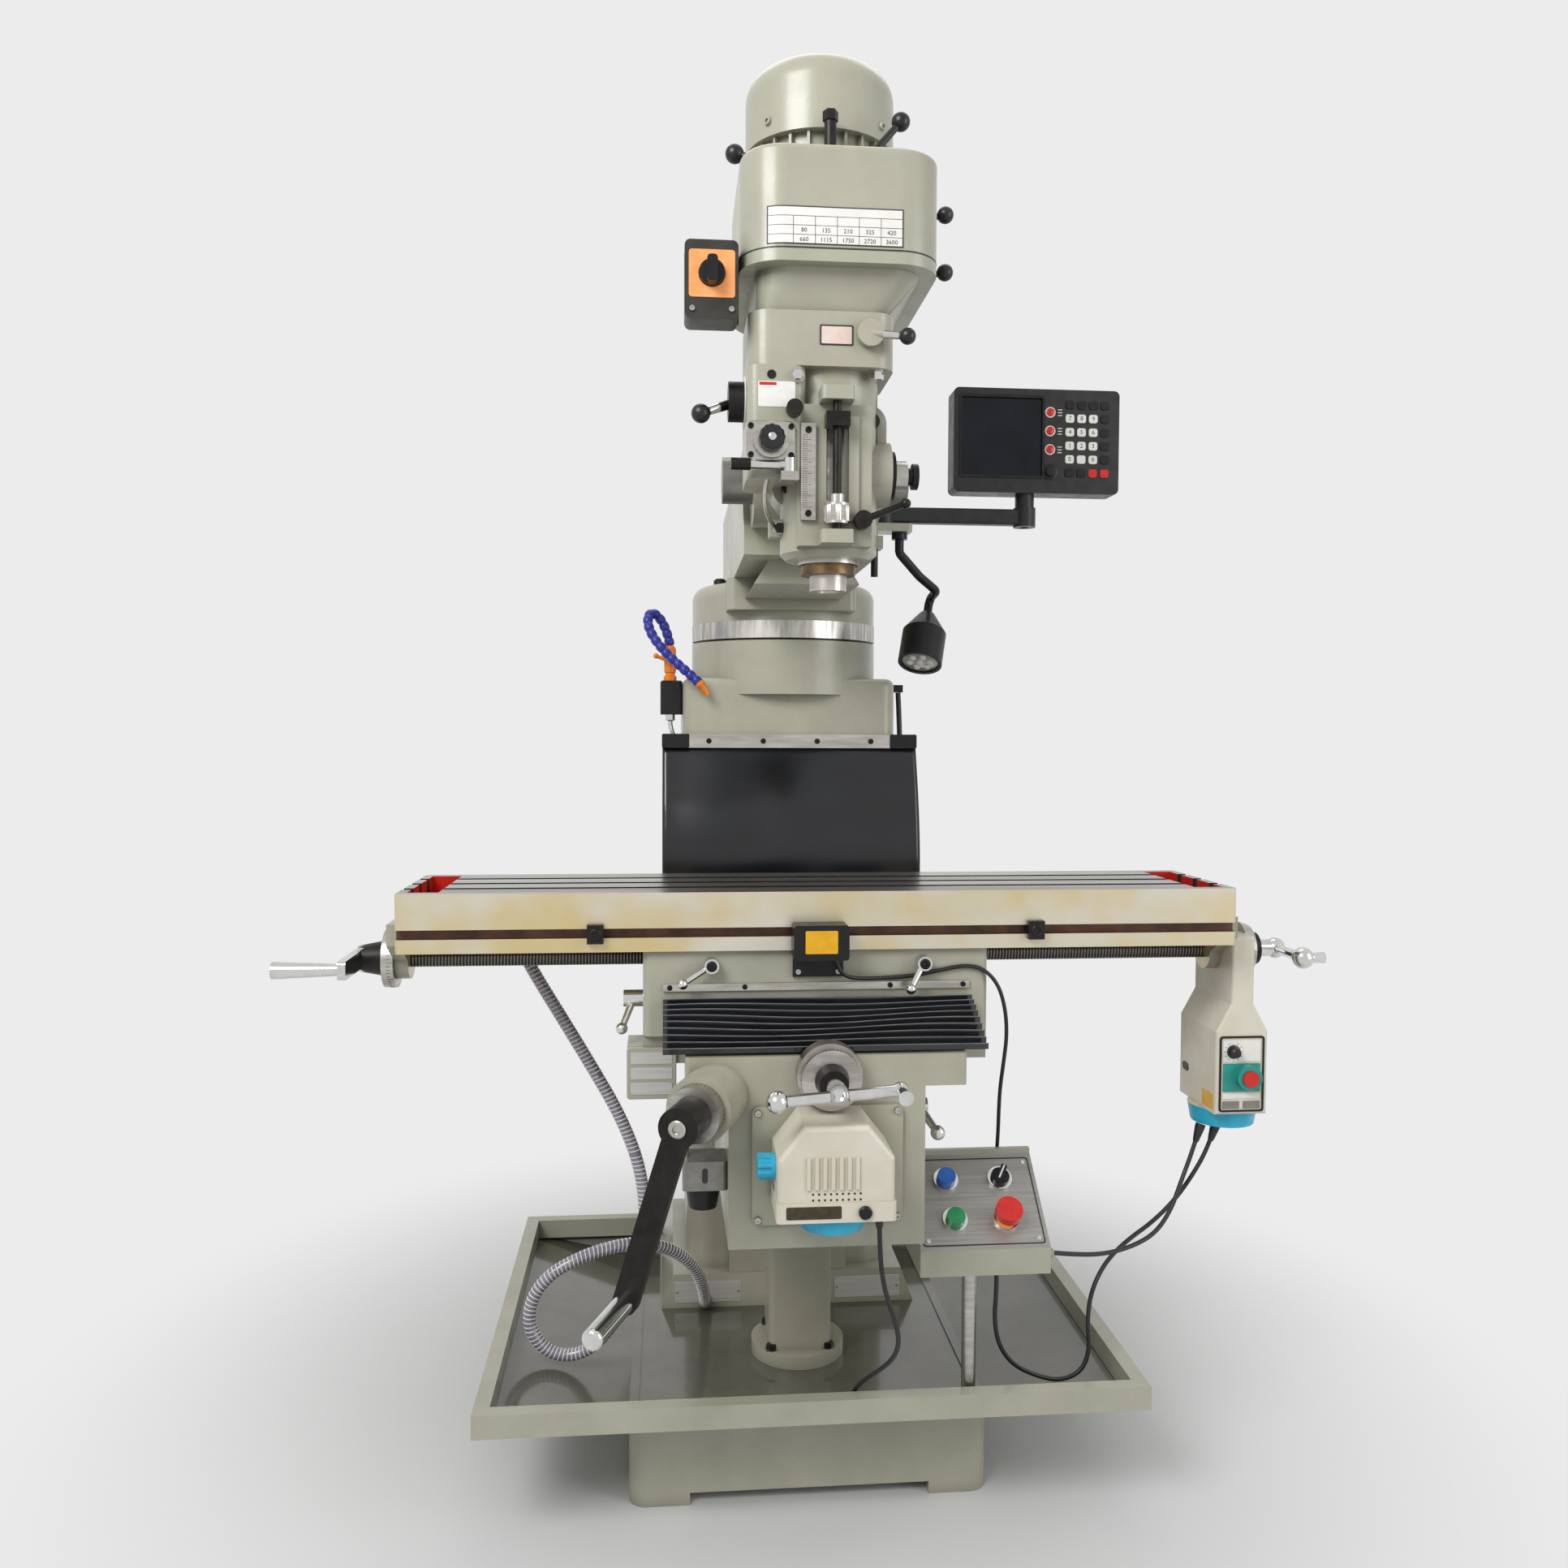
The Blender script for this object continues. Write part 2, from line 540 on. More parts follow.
for material, plain_nodes in PLAIN_PARTS:
    for node in plain_nodes:
        dress(node, material)
dress("base", ENAMEL, (TRAY, between(z=(139.5, 140.5))))
dress("quill_hub", OXIDE, (STEEL, between(x=(91, 111))))
dress("chip_tray", ENAMEL, (TRAY, between(z=(130, 187.5))))
dress("column", ENAMEL, (RING, between(z=(1386.5, 1420))), (OXIDE, between(z=(1383.2, 1386.8))),
      (STEEL, between(y=(-10, -0.2), z=(1184, 1211))), (BLACK, between(x=(198.5, 240))),
      (BLACK, between(x=(190.5, 240), z=(790, 816))))
dress("turret", ENAMEL, (BLACK, between(z=(1493.2, 1504))))
dress("knuckle", ENAMEL, (DIECAST, lambda x, y, z: abs(x) > 96.2))
dress("head_housing", ENAMEL, (STEEL, between((-113, -63), (-657, -640.3), (1578, 1628))),
      (STEEL, between((-47.5, -26.5), (-640.5, -633.3), (1499, 1630))),
      (STEEL, between((-77, -51), (-666, -640.3), (1547, 1561))),
      (OXIDE, between((-6.6, 6.6), (-659, -645), (1490, 1650))),
      (OXIDE, between((60, 72), (-566, -554), (1434, 1472.5))),
      *((OXIDE, between(across, (seat - 17, seat - 0.3), (middle - 13, middle + 13)))
        for across, seat, middle in (((45, 69), -572, 1554), ((45, 69), -572, 1646),
                                     ((-69, -45), -572, 1554), ((-69, -45), -640, 1646))))
dress("quill", STEEL, (BRASS, between(z=(1434, 1449.5))), (OXIDE, between(y=(-667, -604), z=(1619, 1642))))
dress("spindle", STEEL, (OXIDE, between(z=(1720, 2100))))
dress("hi_lo_lever", CHROME, (ENAMEL, near((45, -646, 1748), 19.5)), (KNOB, near((93, -658.3, 1742), 12.5)))
dress("feed_crank", CHROME, (OXIDE, near((-131.3, -580, 1669), 29.5)),
      (KNOB, near((-180.3, -602, 1647), 14.5)))
dress("trip_lever", CHROME, (OXIDE, between(x=(-145, -116.2))))
dress("table", TABLE, (TABLE_TOP, between(z=(976.8, 978))), (OXIDE, between(y=(-459, -227), z=(930, 976.8))),
      (GROOVE, between(y=(-469.5, -455), z=(909.5, 924.5))),
      (RED_LEAD, between((-608, -560), (-451, -235), (950.5, 976.8))),
      (RED_LEAD, between((588, 636), (-451, -235), (950.5, 976.8))),
      (OXIDE, lambda x, y, z: (abs(abs(x) - 331) < 14) & (y < -459.5) & (abs(z - 917) < 14.5)),
      (BLACK, between(x=(-500, -455), y=(-215.8, -150))), (ENAMEL, between(x=(-642, -621.2))),
      (ENAMEL, between(x=(649.2, 670))))
dress("table_screw", CHROME, (THREAD, between(x=(-641, 707))), (STEEL, between(x=(-659.4, -641))),
      (OXIDE, between(x=(-695, -659.2))), (STEEL, between(x=(707, 725.2))),
      (OXIDE, between(x=(725.2, 739.5))))
dress("table_feed_unit", CREAM, (CYAN, between(z=(577, 605.9))), (TEAL, between(y=(-431, -413.2))))
dress("cross_feed_unit", CREAM, (CYAN, between(z=(539, 561.9))), (ENAMEL, between(y=(-596.3, -589))))
dress("cross_crank", CHROME, (STEEL, between(y=(-638.4, -100))),
      (OXIDE, between((-25, 25), (-662.6, -638.2))))
dress("knee_crank", OXIDE, (STEEL, lambda *at: (along_crank(*at) > 69) & (along_crank(*at) < 94.6)),
      (CHROME, lambda *at: along_crank(*at) > 159))
dress("lubricator", DIECAST, (BLACK, between(z=(520, 559.9))))
dress("lubricator_pull", CHROME, (BLACK, between(z=(648.2, 700))))
dress("saddle", ENAMEL, (STEEL, between(y=(-465, -460.2), z=(827, 840))))
dress("control_box", ENAMEL, (PANEL, lambda *at: (abs(over_desk(*at)) < 0.4) & (at[1] < DESK_EDGE_Y - 0.2)),
      (CHROME, lambda *at: (over_desk(*at) > 0.5) & (at[1] < DESK_EDGE_Y - 0.2)),
      (STEEL, between(z=(100, 409.9))))
dress("stop_button", RED, (AMBER, lambda *at: over_desk(*at) < 16))
dress("dro_console", CASE_GREY, (SCREEN, between((296, 444.5), (-90.2, -89.8), (1674, 1815))))


# Hoses and cables: the routes repeat those of the solids

DRAIN_ROUTE = [
    (-478, -194, 893), (-475, -199, 862), (-450, -224, 820), (-406, -239, 752), (-356, -240, 668),
    (-303, -244, 576), (-269, -250, 488), (-261, -256, 394), (-275, -262, 318), (-301, -265, 254),
    (-336, -266, 205), (-378, -265, 181), (-424, -262, 189), (-453, -258, 226), (-452, -252, 273),
    (-422, -246, 312), (-374, -237, 335), (-322, -222, 346), (-270, -200, 344), (-212, -168, 315),
    (-175, -130, 266), (-159, -86, 202), (-157, -34, 165)]
SWITCH_ROUTE = [
    (24, -490, 879), (27, -489, 864), (40, -485, 851), (64, -477, 846), (104, -467, 845), (146, -464, 847),
    (186, -464, 855), (222, -464, 862), (252, -465, 858), (276, -464, 834), (289, -460, 796),
    (294, -454, 752), (292, -444, 708), (291, -428, 664), (294, -410, 622), (297, -396, 580),
    (296, -390, 536.3)]
FEED_ROUTE_LEFT = [
    (645, -360, 576), (630, -366, 535), (606, -378, 488), (584, -392, 446), (552, -408, 415),
    (508, -424, 402), (458, -446, 401), (404, -472, 412), (354, -498, 428)]
FEED_ROUTE_RIGHT = [
    (672, -358, 576), (658, -360, 536), (632, -362, 492), (600, -366, 452), (560, -374, 420),
    (514, -388, 398), (472, -406, 372), (444, -422, 334), (434, -432, 290), (438, -436, 246),
    (425, -438, 211), (390, -440, 198), (352, -442, 208), (310, -450, 232), (284, -460, 270),
    (275, -468, 316), (277, -474, 364), (276, -475, 409)]
CROSS_ROUTE = [
    (66, -640, 561), (67, -640, 516), (70, -638, 470), (80, -630, 425), (96, -614, 382), (105, -590, 342),
    (103, -560, 306), (90, -528, 274), (70, -498, 244), (53, -474, 212), (46, -464, 173)]
CONDUIT_ROUTE = [(213, 60, 1290), (219, 57, 1170), (214, 58, 1050), (220, 62, 930), (213, 64, 815)]


def spline_points(name, route):
    """Points along the smooth line of a route, as Blender draws its NURBS curve."""
    curve = bpy.data.curves.new(name, "CURVE")
    curve.dimensions = "3D"
    curve.resolution_u = 16
    spline = curve.splines.new("NURBS")
    spline.points.add(len(route) - 1)
    for point, place in zip(spline.points, route):
        point.co = (*(value * MM for value in place), 1)
    spline.order_u = 3
    spline.use_endpoint_u = True
    mesh, points = drawn(name, curve)
    bpy.data.meshes.remove(mesh)
    return points


def lengths_along(path):
    """Length of a path from its start to each of its points: the running sum of its steps."""
    return np.r_[0, np.cumsum(np.linalg.norm(np.diff(path, axis=0), axis=1))]


def path_length(path):
    """Whole length of a path: the last of its running lengths."""
    return float(lengths_along(path)[-1])


def at_lengths(path, lengths):
    """Points of a path at given lengths along it, on the straight lines between its own points."""
    return np.stack([np.interp(lengths, lengths_along(path), path[:, axis]) for axis in range(3)], -1)


def runs_between(path, carriers):
    """A cord's line cut into runs, each a share of its length, with the bodies that carry the run."""
    lengths = lengths_along(path)
    shares = np.cumsum([share for share, *_ in carriers])
    ends = shares / shares[-1] * lengths[-1]
    cuts = [0, *np.searchsorted(lengths, ends[:-1] - 1e-9), len(path) - 1]
    return [(path[a:b + 1], *bodies) for a, b, (_, *bodies) in zip(cuts, cuts[1:], carriers)]


def follow(piece, bodies):
    """A run between two bodies bends across their joint, and a run on one body rides on it."""
    if len(bodies) == 2:
        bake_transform(piece)
    else:
        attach(piece, bodies[0])


def hang(node, route, radius_mm, material, carriers, ribs=None):
    """Cord in place of its plain solid: tubes along the route's smooth line, one after another. carriers
    gives each tube's share of the length, and the two bodies that it bends between or the one that it
    rides on."""
    path = spline_points(node + "_line", route)
    for count, (run, *bodies) in enumerate(runs_between(path, carriers)):
        ending = "_skin" if count == 0 else f"_skin_{count + 1}"
        cord = tube_along(node + ending, run, radius_mm * MM, material, None)
        follow(cord, bodies)
        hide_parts(node)
        wires = [ribs(count, run, bodies)] if ribs else []


def hose_spiral(count, run, bodies):
    """White reinforcing wire of the drain hose: a helix of fixed pitch round one run of the hose's line."""
    pitch, reach, wire = 7 * MM, 10.0 * MM, 1.1 * MM
    along = np.arange(0, path_length(run), pitch / 12)
    centre = at_lengths(run, along)
    side, rise = square_to(unit(np.gradient(centre, axis=0)), (0.2, 0.97, 0.1))
    angle = 2 * pi * along[:, None] / pitch
    coil = centre + reach * around(angle, side, rise)
    spiral = tube_along(f"drain_hose_spiral_{count + 1}", coil, wire, WHITE, None, steps=5)
    follow(spiral, bodies)
    return spiral


hang("drain_hose", DRAIN_ROUTE, 10, HOSE, (
    (0.2, "table", "saddle"), (0.1, "saddle", "knee"), (0.22, "knee", "frame"), (0.48, "frame")), hose_spiral)
hang("switch_cable", SWITCH_ROUTE, 3, CABLE, (
    (0.55, "saddle"), (0.15, "saddle", "knee"), (0.3, "knee", "frame")))
hang("table_feed_cable_left", FEED_ROUTE_LEFT, 3.5, CABLE, (
    (0.4, "table", "saddle"), (0.2, "saddle", "knee"), (0.4, "knee", "frame")))
hang("table_feed_cable_right", FEED_ROUTE_RIGHT, 3.5, CABLE, (
    (0.22, "table", "saddle"), (0.12, "saddle", "knee"), (0.18, "knee", "frame"), (0.48, "frame")))
hang("cross_feed_cable", CROSS_ROUTE, 3.5, CABLE, ((1, "knee", "frame"),))
hang("lamp_conduit", CONDUIT_ROUTE, 5, CABLE, ((1, "frame"),))


# Soft covers

def soft_sheet(name, points, material, thick_mm, sharp_deg=35):
    """Sheet through a grid of points, with half of its wall on each side."""
    sheet = show(name, points, grid_faces(*points.shape[:2], False).tolist(), material, None, sharp_deg)
    wall = sheet.modifiers.new("wall", "SOLIDIFY")
    wall.thickness, wall.offset = thick_mm * MM, 0
    return sheet


def way_guard_sheet():
    """Rubber sheet from the strip to the knee: an arc seen from the side, with slow waves across."""
    low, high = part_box("way_guard")
    rows, columns = 40, 60
    top_y, bulge, lean = -4 * MM, 48 * MM, 12 * MM
    drop = np.linspace(0, 1, rows)[:, None]
    across = np.linspace(0, 1, columns)[None]
    x = low.x + across * (high.x - low.x)
    z = high.z + drop * (low.z - high.z)
    belly = np.sin(pi * drop) * (1 - 0.05 * np.cos(6 * pi * across))
    y = top_y - bulge * belly - lean * drop
    sheet = soft_sheet("way_guard_sheet", np.stack(np.broadcast_arrays(x, y, z), -1), GUARD, 4)
    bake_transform(sheet)
    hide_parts("way_guard")


def front_pleats():
    """Pleated cover: a zigzag with round folds from the saddle down to the knee, and a slow wave across
    its middle rows. Its folds have pale, worn edges: thin beads along the crests."""
    low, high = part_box("front_bellows")
    folds, rows, columns = 9, 217, 48
    down = np.linspace(0, 1, rows)[:, None]
    across = np.linspace(0, 1, columns)[None]
    x = low.x + across * (high.x - low.x)
    top_y, foot_y = high.y - 1 * MM, low.y + 6 * MM
    top_z, foot_z = high.z - 6 * MM, low.z + 4 * MM
    fold_depth, fold_middle, sag = 13 * MM, 6 * MM, 3.5 * MM
    fold = np.abs(((down * folds * 2 + 0.5) % 2) - 1)
    depth = fold_depth * fold ** 1.6
    drift = sag * np.sin(2.2 * pi * across + 3 * down) * np.sin(pi * down)
    y = top_y + down * (foot_y - top_y) - 0.45 * depth
    z = top_z + down * (foot_z - top_z) + 0.8 * (depth - fold_middle) + drift
    points = np.stack(np.broadcast_arrays(x, y, z), -1)
    cover = soft_sheet("front_bellows_pleats", points, BELLOWS, 1.2, 60)
    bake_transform(cover)
    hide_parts("front_bellows")
    crests = points[np.flatnonzero((fold[1:-1, 0] > fold[:-2, 0]) & (fold[1:-1, 0] > fold[2:, 0])) + 1]
    angle = 2 * pi * np.arange(6)[:, None] / 6
    bead_radius = 0.8 * MM
    bead = bead_radius * np.concatenate((0 * angle, np.cos(angle), np.sin(angle)), 1)
    edges = stacked("front_bellows_edges", crests[:, :, None] + bead, VINYL_EDGE, None)
    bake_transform(edges)


way_guard_sheet()
front_pleats()


# Milling head: plates, screws and marks

BELT_FOOT, BELT_TOP, COWL_TOP, DRAWBAR_TOP = 1832, 1985, 2185, 2063
SPINDLE_Y, MOTOR_Y = -560, -425
CASE_FRONT = -640
REVERSE_X, REVERSE_Z = -88, 1603
SWITCH_X, SWITCH_FRONT, SWITCH_Z = -167, -650, 1818
BELT_CORNER, BELT_CORNER_Y, BELT_LEFT, BELT_RIGHT = 58, -612, -71, 81


def belt_outline(grow):
    """Plan of the belt housing, grown by a margin: four arcs, wider at the back than at the front."""
    angle = np.linspace(0, pi / 2, 10)
    corners = ((44, -410, 95, 0), (-34, -410, 95, 1), (BELT_LEFT, BELT_CORNER_Y, BELT_CORNER, 2),
               (BELT_RIGHT, BELT_CORNER_Y, BELT_CORNER, 3))
    return np.concatenate([
        np.stack((x + (radius + grow) * np.cos(angle + quarter * pi / 2),
                  y + (radius + grow) * np.sin(angle + quarter * pi / 2)), -1)
        for x, y, radius, quarter in corners])


def belt_seam():
    """Dark joint line round the belt housing, where its cover meets its foot: a thin band."""
    rows = [(belt_outline(grow), BELT_FOOT + level)
            for grow, level in ((-0.4, 16), (0.4, 16), (0.4, 18), (-0.4, 18))]
    loops = np.stack([np.column_stack((plan, np.full(len(plan), height))) for plan, height in rows])
    stacked("belt_seam", loops * MM, INK, "head", bore=True)


def on_belt(u, v, w):
    """Place on the belt housing's front: across it, up from its foot, and out. The front is flat, with
    a round corner at each side."""
    past = np.clip(np.maximum(BELT_LEFT - u, u - BELT_RIGHT), 0, BELT_CORNER - 1)
    return np.stack((u, BELT_CORNER_Y - np.sqrt(BELT_CORNER ** 2 - past ** 2) - w, BELT_FOOT + v), -1)


def belt_labels(name, boxes, lift, material):
    """Thin labels that follow the belt housing's front: its section between two places across, drawn
    up from a low to a high edge."""
    share = np.linspace(0, 1, 16)
    out = np.repeat((lift, -0.3), 16)
    loops = []
    for left, right, low, high in boxes:
        across = np.concatenate((left + share * (right - left), right - share * (right - left)))
        loops.append([on_belt(across, np.full(32, level), out) for level in (low, high)])
    stacked(name, np.array(loops) * MM, material, "head")


def belt_plate():
    """Speed plate on the belt housing: white, with a border, a ruled table and plain numbers."""
    left, right, low, high, border_width, rule_width = -96, 84, 21, 70, 1.4, 0.6
    belt_labels("speed_plate", [(left, right, low, high)], 0.6, WHITE)
    border = [(left, right, low, low + border_width), (left, right, high - border_width, high),
              (left, left + border_width, low, high), (right - border_width, right, low, high)]
    rows = [(left, right, level, level + rule_width) for level in (33, 45, 57)]
    columns = [(x, x + rule_width, low, 57) for x in (-62, -33, -4, 25, 54)]
    belt_labels("speed_plate_rules", border + rows + columns, 0.8, INK)
    speeds = (("80", "135", "210", "325", "420"), ("660", "1115", "1750", "2720", "3600"))
    marks = [(speed, -47.5 + 29 * place, 39 - 12 * row, 8) for row, line in enumerate(speeds)
             for place, speed in enumerate(line)]
    numbers("speed_plate_numbers", marks, lambda u, v, w: on_belt(u, v, w + 0.6), INK, "head")


def motor_fittings():
    """Lid on the fan cowl, the cowl's screws, the drawbar's collar and hexagon, and cover screws."""
    lathe("cowl_lid", (0, MOTOR_Y, COWL_TOP), UP, eased(66, 4, 63, 6), ENAMEL, "head", 64)
    cowl_radius, cowl_screw_z = 110, 2088
    for number, degrees in enumerate((-48, 48, 132, 228)):
        way = (sin(radians(degrees)), -cos(radians(degrees)), 0)
        place = (cowl_radius * way[0], MOTOR_Y + cowl_radius * way[1], cowl_screw_z)
        screws(f"cowl_screw_{number}", place, 6, ENAMEL, "head", 4, way)
    collar = [(12.5, 0), (24, 0), (24, 5), (20, 7), (12.5, 7)]
    lathe("drawbar_collar", (0, SPINDLE_Y, BELT_TOP), UP, collar, STEEL, "head", bore=True)
    lathe("drawbar_hexagon", (0, SPINDLE_Y, DRAWBAR_TOP), UP, eased(11, 13, 9, 15), OXIDE, "spindle", 6)
    corners = [(x, y, BELT_TOP) for x in (-104, 114) for y in (-605, -395)]
    screws("belt_cover_screws", corners, 6, OXIDE, "head", 4, UP)


def case_fittings():
    """Plates, bolts and the reverse knob with its flange, on the quill casting and the gear case."""
    hex_bolts("feed_case_bolt", (-52, CASE_FRONT, 1691), FRONT, 14, 9, CHROME, "head")
    hex_bolts("gear_case_bolt", (58, -622, 1705), -UP, 16, 12, CHROME, "head")
    ring = [(0, 0), (6, 0), (6, 0.8), (4, 0.8), (3.6, 0.2), (0, 0.2)]
    lathe("feed_case_hole", (-87, CASE_FRONT, 1692), FRONT, ring, OXIDE, "head", 24)
    plate("feed_plate", (-80, CASE_FRONT, 1666), (50, 34), 0.8, WHITE, "head")
    strokes("feed_plate_bar", (-92, CASE_FRONT - 0.8, 1679.5), RIGHT, UP, (23, 4, 0.2), RED, "head")
    range_middle = (0, CASE_FRONT, 1746)
    plate("range_plate", range_middle, (42, 24), 0.8, PINK, "head")
    plate("range_plate_rim", range_middle, (45, 27), 1.1, INK, "head", hole=(41, 23, 1.5))
    band = [(28, 0), (35, 0), (35, 1), (28, 1)]
    lathe("feed_crank_ring", (-120, -580, 1669), -RIGHT, band, WHITE, "head", 48, bore=True)
    plate("reverse_flange", (REVERSE_X, CASE_FRONT, REVERSE_Z), (66, 52), 7, STEEL, "head", 10, 1,
          (48.6, 48.6, 24.2))
    corners = [(REVERSE_X + x, CASE_FRONT - 7, REVERSE_Z + z) for x in (-27, 27) for z in (-19, 19)]
    screws("reverse_flange_screws", corners, 4, OXIDE, "head")
    knob = [(0, 0), (12, 0), (13, 2), (13, 4), (17, 6), (17, 13), (14, 16), (6, 16), (0, 16)]
    knob_seat, knob_height = CASE_FRONT - 16, 16
    lathe("reverse_knob", (REVERSE_X, knob_seat, REVERSE_Z), FRONT, knob, KNOB, "head", 60, 0.03, 12)
    cap = [(0, 0), (5, 0), (5, 1), (3, 1.8), (0, 2)]
    cap_place = (REVERSE_X, knob_seat - knob_height, REVERSE_Z)
    lathe("reverse_knob_cap", cap_place, FRONT, cap, CHROME, "head", 24)


def depth_scale():
    """Marks and screws of the depth scale, with every fifth mark longer, and the knurl of its nut."""
    screws("scale_screws", [(-37, CASE_FRONT, 1620), (-37, CASE_FRONT, 1509)], 4.5, OXIDE, "head")
    step, left, foot, pitch = np.arange(33), -45, 1517, 3
    length = np.where(step % 5 == 0, 12, 7)
    marks = np.stack((left + length / 2, np.full(len(step), CASE_FRONT), foot + pitch * step), -1)
    strokes("scale_marks", marks, RIGHT, UP, (length, 0.5, 0.2), INK, "head")
    knurl = [(16, 3), (17.1, 3), (17.7, 5), (17.7, 22), (17.1, 24), (16, 24)]
    lathe("depth_nut_knurl", (0, -652, 1493), UP, knurl, STEEL, "depth_nut", 120, 0.02, 30, True)


def rod_and_switch():
    """Trip rod and its nut, the drum switch's face and screws, and the sockets of the turret's bolts."""
    bent_rod("trip_rod", (-92, -630, 1556), (-100, -614, 1516), (-76, -570, 1500), 3, STEEL, "head")
    hex_bolts("trip_rod_nut", (-70, -572, 1499), FRONT, 13, 9, OXIDE, "head")
    plate("switch_face", (SWITCH_X, SWITCH_FRONT, SWITCH_Z), (61, 62), 1.2, SWITCH_FACE, "head", 4,
          hole=(36, 36, 17.9))
    screws("switch_screws", [(SWITCH_X + x, SWITCH_FRONT, 1772) for x in (-26, 26)], 4, STEEL, "head")
    sockets = [(x, y, 1503) for x in (-126, 126) for y in (100, 200)]
    screws("turret_sockets", sockets, 9, OXIDE, "turret", 3, UP)


# Table, saddle and knee: dials, labels and screws

def feed_panel():
    """Front of the table's power feed: rimmed panel with a speed knob, labels and a hole on its side."""
    side, middle, face = 645, 688, -413
    plate("table_feed_rim", (middle, face, 672), (74, 122), 1.6, BLACK, "table", 5, hole=(68, 116, 3))
    for name, z, height, material, corner in (("label", 709, 34, WHITE, 2), ("field", 666, 46, TEAL, 2),
                                              ("strip", 636, 8, WHITE, 1)):
        plate(f"table_feed_{name}", (middle, face, z), (62, height), 0.8, material, "table", corner)
    tags = [(middle + x, face, 622) for x in (-17, 17)]
    plate("table_feed_tags", tags, (28, 12), 0.8, DIECAST, "table", 1)
    knob = [(0, 0), (11, 0), (11, 2), (8, 3), (7.5, 13), (6, 14.5), (0, 14.5)]
    knob_x, knob_z, reach = 674, 708, 14.5
    lathe("table_feed_speed", (knob_x, face, knob_z), FRONT, knob, KNOB, "table", 48, 0.03, 12)
    angle = radians(30) * (1 + np.arange(11)) - pi
    ticks = np.stack((knob_x + reach * np.sin(angle), np.full(11, face - 0.8),
                      knob_z - reach * np.cos(angle)), -1)
    strokes("table_feed_ticks", ticks, RIGHT, UP, (1.4, 1.4, 0.2), INK, "table")
    plate("table_feed_side_label", (side, -385, 625), (40, 26), 0.8, YELLOW, "table", out=-RIGHT)
    plate("table_feed_side_hole", (side, -295, 655), (26, 14), 0.5, OXIDE, "table", 6.9, 0.2, out=-RIGHT)


def cross_feed_front():
    """Front of the knee's power feed: cooling fins, two rows of vents, label, plug and plate screws."""
    face, lip, seat = -694, -697, -596
    fins = [(x, face, 628) for x in range(-38, 39, 11)]
    strokes("cross_feed_fins", fins, UP, -RIGHT, (44, 5, 2.4), CREAM, "knee")
    vents = [(x, face, z) for z in (592, 600) for x in range(-32, 33, 8)]
    lathe("cross_feed_vents", vents, FRONT, [(0, 0), (1.5, 0), (1.5, 0.4), (0, 0.4)], GREY, "knee", 12)
    plate("cross_feed_label", (-31, lip, 576), (74, 17), 0.8, BRONZE_LABEL, "knee")
    lathe("cross_feed_plug", (38, lip, 575), FRONT, eased(9, 3, 7, 4.5), BLACK, "knee", 32)
    screws("cross_feed_screws", [(x, seat, z) for x in (-99, 99) for z in (530, 682)], 5, STEEL, "knee", 4)


def table_and_saddle_fittings():
    """Dog screws, limit switch label, clamp bar screws, dial marks and the saddle's rack of bare plates."""
    screws("dog_screws", [(-331, -482, 917), (331, -482, 917)], 9, OXIDE, "table", 3)
    plate("limit_switch_label", (0, -512, 907), (48, 34), 0.8, YELLOW, "saddle")
    screws("limit_bracket_screws", [(-30, -466, 856), (30, -466, 856)], 4.5, STEEL, "saddle")
    screws("clamp_bar_screws", [(x, -464, 833.5) for x in (-222, -110, 110, 222)], 4, OXIDE, "saddle")
    dial_marks("table_dial_marks", (-651, -343, 862), RIGHT, 45, 50, 9, "table_screw")
    dial_marks("cross_dial_marks", (0, -637.5, 737), BACK, 42, 50, 10, "cross_crank")
    crank_axis = np.array(CRANK_AXIS)
    dial_marks("knee_dial_marks", CRANK_SEAT + 73 * crank_axis, CRANK_AXIS, 38, 40, 10, "knee_crank")
    screws("knee_crank_screw", CRANK_SEAT + 152.3 * crank_axis, 12, STEEL, "knee_crank", 5, CRANK_AXIS)
    rack_x, rack_front, rack_thick = -249, -448.2, 7
    plate("plate_rack", (rack_x, rack_front, 703), (74, 78), rack_thick, ENAMEL, "saddle", 5, 1)
    plates = [(rack_x, rack_front - rack_thick, z) for z in (680, 703, 726)]
    plate("plate_rack_plates", plates, (62, 18), 0.8, PLATE, "saddle")
    plate("lubricator_sight", (-172, -560, 582), (8, 22), 0.8, INK, "knee", 3.9, 0.2)
    for side, x in (("left", -160), ("right", 160)):
        screws(f"table_lock_{side}_screw", (x, -482.3, 868), 8, OXIDE, f"table_lock_{side}", 2.5)


# Column, base, coolant, desk, lamp and readout

def column_fittings():
    """Bolts of the pedestal, bare plates on the plinth's slope, and the end caps of the guard's strip."""
    pedestal = [(x, -180 + y, 162) for x in (-48, 48) for y in (-48, 48)]
    hex_bolts("pedestal_bolts", pedestal, UP, 17, 11, OXIDE, "frame")
    slope_out, slope_up = (0, -0.9889, 0.1483), (0, 0.1483, 0.9889)
    slope_y, plate_z, plate_thick = -6.8, 168, 0.8
    plates = [(x, slope_y, plate_z) for x in (-150, 150)]
    plate("plinth_plates", plates, (124, 38), plate_thick, PLATE, "frame", out=slope_out, up=slope_up)
    rivets = [(x + side, slope_y - plate_thick, plate_z) for x in (-150, 150) for side in (-57, 57)]
    screws("plinth_rivets", rivets, 2.5, STEEL, "frame", 1.2, slope_out)
    strip_front, strip_z = -9, 1197.5
    caps = [(x, strip_front, strip_z) for x in (-211, 211)]
    plate("guard_strip_caps", caps, (50, 26), 3, BLACK, "frame", 3)
    holes = [(x, strip_front, strip_z) for x in (-150, -50, 50, 150)]
    screws("guard_strip_screws", holes, 5, OXIDE, "frame", 3)


